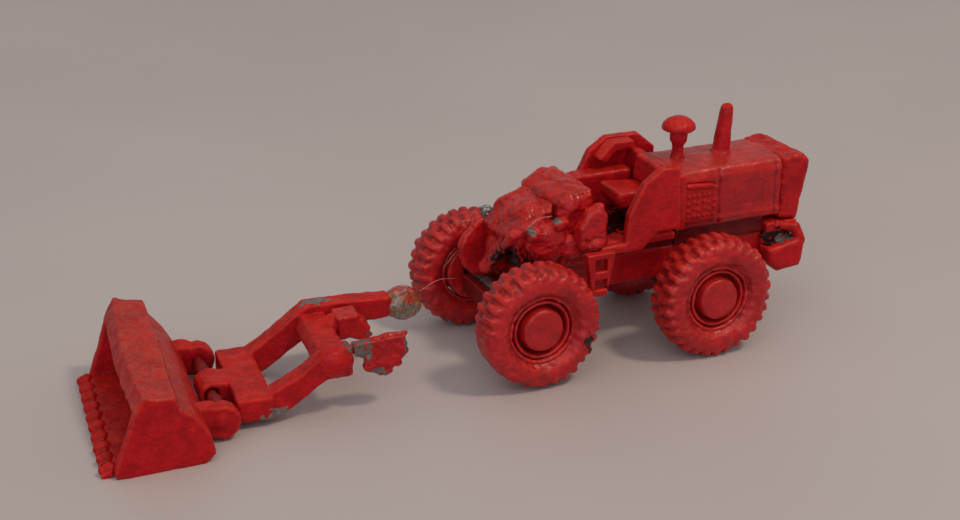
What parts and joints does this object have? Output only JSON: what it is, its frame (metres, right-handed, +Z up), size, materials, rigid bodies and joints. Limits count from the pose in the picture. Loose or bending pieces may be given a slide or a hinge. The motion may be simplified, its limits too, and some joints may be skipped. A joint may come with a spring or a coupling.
{
  "type": "toy front loader",
  "caption": "Small cast toy wheel loader painted red all over: tractor on four lugged tyres, with its loader arms and toothed bucket broken off and lying in front.",
  "frame": {"origin": "on the ground under the middle of the whole arrangement's box", "axes": "+X from the tractor towards the bucket, +Y to the driver's left, +Z up"},
  "size_m": [0.1096, 0.0316, 0.0334],
  "materials": {
    "brushed_red": "thick brushed enamel, semi-gloss, slightly lumpy",
    "shaded_red": "thin enamel in the recesses, duller and darker",
    "painted_tyre": "enamel over moulded tyre, satin",
    "axle_steel": "plain drawn wire",
    "old_glue": "hard amber adhesive with red paint and grey metal showing"
  },
  "bodies": {
    "tractor": {"chassis_frame": "brushed_red", "front_axle_housing": "shaded_red", "rear_axle_housing": "shaded_red", "engine_block": "shaded_red", "hood": "brushed_red", "radiator_shroud": "brushed_red", "louvre_panel_left": "brushed_red", "louvre_panel_right": "brushed_red", "exhaust_stack": "brushed_red", "air_cleaner_stem": "brushed_red", "air_cleaner_cap": "brushed_red", "counterweight_left": "brushed_red", "counterweight_right": "brushed_red", "rear_beam": "brushed_red", "gearbox": "shaded_red", "floor_deck": "brushed_red", "firewall": "brushed_red", "fender_left": "brushed_red", "fender_right": "brushed_red", "fender_ledge_right": "brushed_red", "seat_base": "shaded_red", "seat_cushion": "brushed_red", "seat_back": "brushed_red", "side_console_right": "brushed_red", "side_console_left": "brushed_red", "ladder_left": "brushed_red", "ladder_right": "brushed_red", "dash_panel": "brushed_red", "front_cowl": "brushed_red", "tower_right": "brushed_red", "tower_left": "brushed_red"},
    "front_wheels": {"front_axle_shaft": "axle_steel", "tyre_front_left": "painted_tyre", "hub_front_left": "brushed_red", "tyre_front_right": "painted_tyre", "hub_front_right": "brushed_red"},
    "rear_wheels": {"rear_axle_shaft": "axle_steel", "tyre_rear_left": "painted_tyre", "hub_rear_left": "brushed_red", "tyre_rear_right": "painted_tyre", "hub_rear_right": "brushed_red"},
    "pivot_knuckle": {"pivot_knuckle": "old_glue"},
    "loader_arms": {"arm_frame": "brushed_red", "broken_rib": "brushed_red", "arm_end_fragment": "brushed_red"},
    "bucket": {"bucket_shell": "brushed_red", "bucket_pin": "shaded_red", "bucket_tooth_1": "brushed_red", "bucket_tooth_2": "brushed_red", "bucket_tooth_3": "brushed_red", "bucket_tooth_4": "brushed_red", "bucket_tooth_5": "brushed_red", "bucket_tooth_6": "brushed_red", "bucket_tooth_7": "brushed_red", "bucket_tooth_8": "brushed_red", "bucket_tooth_9": "brushed_red", "bucket_tooth_10": "brushed_red"}
  },
  "joints": [
    {"name": "front_roll", "type": "hinge", "parent": "tractor", "child": "front_wheels", "pos_m": [-0.00684, -0.00057, 0.009], "axis": [0, 1, 0], "continuous": true},
    {"name": "rear_roll", "type": "hinge", "parent": "tractor", "child": "rear_wheels", "pos_m": [-0.03484, -0.00057, 0.009], "axis": [0, 1, 0], "continuous": true},
    {"name": "loader_refit", "type": "slide", "parent": "tractor", "child": "pivot_knuckle", "axis": [-0.7276, -0.2494, 0.6391], "range_m": [0, 0.00986]},
    {"name": "arm_lift", "type": "hinge", "parent": "pivot_knuckle", "child": "loader_arms", "pos_m": [0.00693, -0.00411, 0.0087], "axis": [-0.0906, -0.9959, 0], "range_deg": [-15, 35]},
    {"name": "bucket_tilt", "type": "hinge", "parent": "loader_arms", "child": "bucket", "pos_m": [0.03704, 0.00018, 0.0028], "axis": [-0.0906, -0.9959, 0], "range_deg": [-40, 30]}
  ]
}
